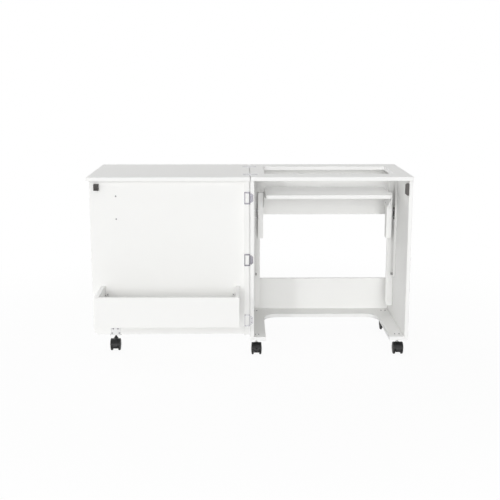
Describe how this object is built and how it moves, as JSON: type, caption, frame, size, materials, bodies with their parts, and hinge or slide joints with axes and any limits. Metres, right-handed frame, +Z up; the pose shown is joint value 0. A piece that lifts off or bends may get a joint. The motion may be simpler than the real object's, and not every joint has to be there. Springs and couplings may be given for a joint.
{
  "type": "sewing cabinet",
  "caption": "White rolling sewing cabinet with a machine opening and lift, a fold-over extension leaf, and a swing-out door with a storage bin that carries the leaf.",
  "frame": {"origin": "on the floor, under the middle of the open cabinet's bounding box", "axes": "+X from the leaf to the cabinet, +Y from the sewer to the back, +Z up"},
  "size_m": [1.35, 0.673, 0.7753],
  "materials": {
    "white_melamine": "white melamine-faced board with matching edge band, satin",
    "zinc_plated_steel": "zinc plated",
    "white_coated_steel": "white powder coat",
    "brushed_nickel": "brushed nickel",
    "black_plastic": "moulded, fine texture",
    "black_nylon": "moulded nylon, slightly worn tread"
  },
  "bodies": {
    "cabinet": {"main_top": "white_melamine", "left_side_panel": "white_melamine", "right_side_panel": "white_melamine", "base_panel": "white_melamine", "lower_back_panel": "white_melamine", "upper_back_rail": "white_melamine", "left_guide_post": "white_melamine", "right_guide_post": "white_melamine", "left_slide_rail": "white_coated_steel", "right_slide_rail": "white_coated_steel", "left_rail_stop": "black_plastic", "right_rail_stop": "black_plastic", "catch_body": "black_plastic", "door_hinge_tongue_bottom": "zinc_plated_steel", "door_hinge_tongue_middle": "zinc_plated_steel", "door_hinge_tongue_top": "zinc_plated_steel", "door_hinge_pin_bottom": "zinc_plated_steel", "door_hinge_pin_middle": "zinc_plated_steel", "door_hinge_pin_top": "zinc_plated_steel", "flap_hinge_plate_front": "zinc_plated_steel", "flap_hinge_plate_back": "zinc_plated_steel", "flap_hinge_pin_front": "zinc_plated_steel", "flap_hinge_pin_back": "zinc_plated_steel", "caster_plate_front_left": "zinc_plated_steel", "caster_plate_front_right": "zinc_plated_steel", "caster_plate_back_left": "zinc_plated_steel", "caster_plate_back_right": "zinc_plated_steel"},
    "leaf": {"leaf_top": "white_melamine", "leaf_hinge_plate_front": "zinc_plated_steel", "leaf_hinge_plate_back": "zinc_plated_steel"},
    "door": {"door_panel": "white_melamine", "door_stile": "white_melamine", "door_hinge_frame_bottom": "zinc_plated_steel", "door_hinge_frame_middle": "zinc_plated_steel", "door_hinge_frame_top": "zinc_plated_steel", "bin_front": "white_melamine", "bin_left_end": "white_melamine", "bin_right_end": "white_melamine", "bin_bottom": "white_melamine", "catch_strike": "black_plastic", "door_pull": "brushed_nickel", "door_caster_bracket": "zinc_plated_steel"},
    "lift": {"lift_platform": "white_melamine", "left_carrier": "white_melamine", "right_carrier": "white_melamine", "left_slide_shoe": "black_plastic", "right_slide_shoe": "black_plastic", "left_platform_bracket": "white_coated_steel", "right_platform_bracket": "white_coated_steel"},
    "swivel_front_left": {"caster_hood_front_left": "black_plastic"},
    "swivel_front_right": {"caster_hood_front_right": "black_plastic"},
    "swivel_back_left": {"caster_hood_back_left": "black_plastic"},
    "swivel_back_right": {"caster_hood_back_right": "black_plastic"},
    "swivel_door": {"caster_hood_door": "black_plastic"},
    "wheels_front_left": {"caster_wheels_front_left": "black_nylon"},
    "wheels_front_right": {"caster_wheels_front_right": "black_nylon"},
    "wheels_back_left": {"caster_wheels_back_left": "black_nylon"},
    "wheels_back_right": {"caster_wheels_back_right": "black_nylon"},
    "wheels_door": {"caster_wheels_door": "black_nylon"}
  },
  "joints": [
    {"name": "leaf_fold", "type": "hinge", "parent": "cabinet", "child": "leaf", "pos_m": [0, 0.0865, 0.7733], "axis": [0, 1, 0], "range_deg": [0, 180]},
    {"name": "door_swing", "type": "hinge", "parent": "cabinet", "child": "door", "pos_m": [-0.0025, -0.1485, 0.426], "axis": [0, 0, 1], "range_deg": [0, 180]},
    {"name": "lift_slide", "type": "slide", "parent": "cabinet", "child": "lift", "axis": [0, 0, 1], "range_m": [-0.245, 0.091]},
    {"name": "turn_front_left", "type": "hinge", "parent": "cabinet", "child": "swivel_front_left", "pos_m": [0.027, -0.0975, 0.06], "axis": [0, 0, 1], "continuous": true},
    {"name": "turn_front_right", "type": "hinge", "parent": "cabinet", "child": "swivel_front_right", "pos_m": [0.637, -0.0975, 0.06], "axis": [0, 0, 1], "continuous": true},
    {"name": "turn_back_left", "type": "hinge", "parent": "cabinet", "child": "swivel_back_left", "pos_m": [0.027, 0.2765, 0.06], "axis": [0, 0, 1], "continuous": true},
    {"name": "turn_back_right", "type": "hinge", "parent": "cabinet", "child": "swivel_back_right", "pos_m": [0.637, 0.2765, 0.06], "axis": [0, 0, 1], "continuous": true},
    {"name": "turn_door", "type": "hinge", "parent": "door", "child": "swivel_door", "pos_m": [-0.5875, -0.0325, 0.06], "axis": [0, 0, 1], "continuous": true},
    {"name": "roll_front_left", "type": "hinge", "parent": "swivel_front_left", "child": "wheels_front_left", "pos_m": [0.027, -0.1155, 0.02484], "axis": [1, 0, 0], "continuous": true},
    {"name": "roll_front_right", "type": "hinge", "parent": "swivel_front_right", "child": "wheels_front_right", "pos_m": [0.637, -0.1155, 0.02484], "axis": [1, 0, 0], "continuous": true},
    {"name": "roll_back_left", "type": "hinge", "parent": "swivel_back_left", "child": "wheels_back_left", "pos_m": [0.027, 0.2585, 0.02484], "axis": [1, 0, 0], "continuous": true},
    {"name": "roll_back_right", "type": "hinge", "parent": "swivel_back_right", "child": "wheels_back_right", "pos_m": [0.637, 0.2585, 0.02484], "axis": [1, 0, 0], "continuous": true},
    {"name": "roll_door", "type": "hinge", "parent": "swivel_door", "child": "wheels_door", "pos_m": [-0.5875, -0.0505, 0.02484], "axis": [1, 0, 0], "continuous": true}
  ]
}
